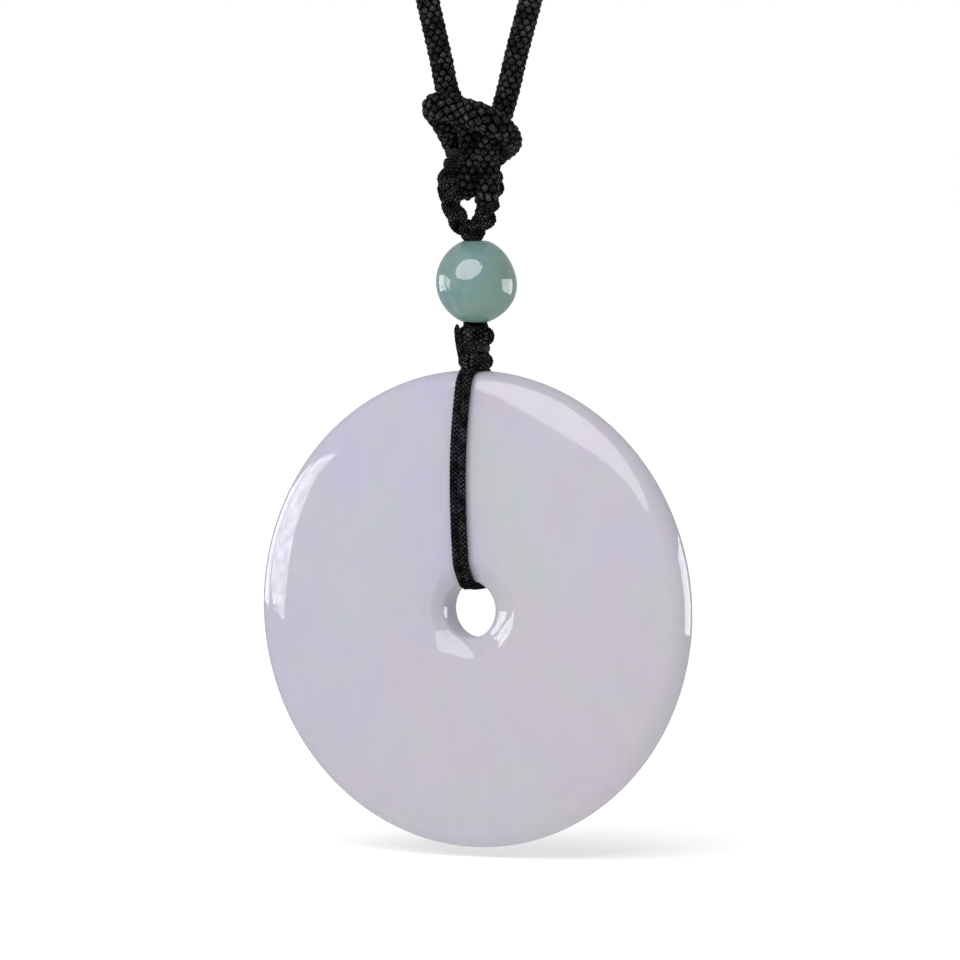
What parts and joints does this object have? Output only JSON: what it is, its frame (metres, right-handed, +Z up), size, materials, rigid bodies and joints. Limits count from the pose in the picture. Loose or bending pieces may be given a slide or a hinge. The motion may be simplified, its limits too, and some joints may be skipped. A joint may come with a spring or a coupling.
{
  "type": "jade disc pendant on a braided neck cord",
  "caption": "Lavender jade disc with a small round hole, hung by a thin black sling and a blue-green jade bead from a hitched braided black neck cord.",
  "frame": {"origin": "inside of the plain join at the nape, where the neck cord hangs", "axes": "+Z up, +X to the wearer's left as seen from the front, -Y to the front, the disc's face"},
  "size_m": [0.1163, 0.0095, 0.3426],
  "materials": {
    "lavender_jade": "polished",
    "green_jade": "polished",
    "thin_cord": "satin",
    "braided_cord": "satin"
  },
  "bodies": {
    "root": {"jade_disc": "lavender_jade", "sling_strand_left": "thin_cord", "sling_strand_right": "thin_cord", "wrap_knot": "thin_cord", "jade_bead": "green_jade", "bead_cord": "thin_cord", "knotted_loop": "thin_cord", "neck_cord": "braided_cord", "nape_sleeve": "braided_cord"}
  },
  "joints": []
}
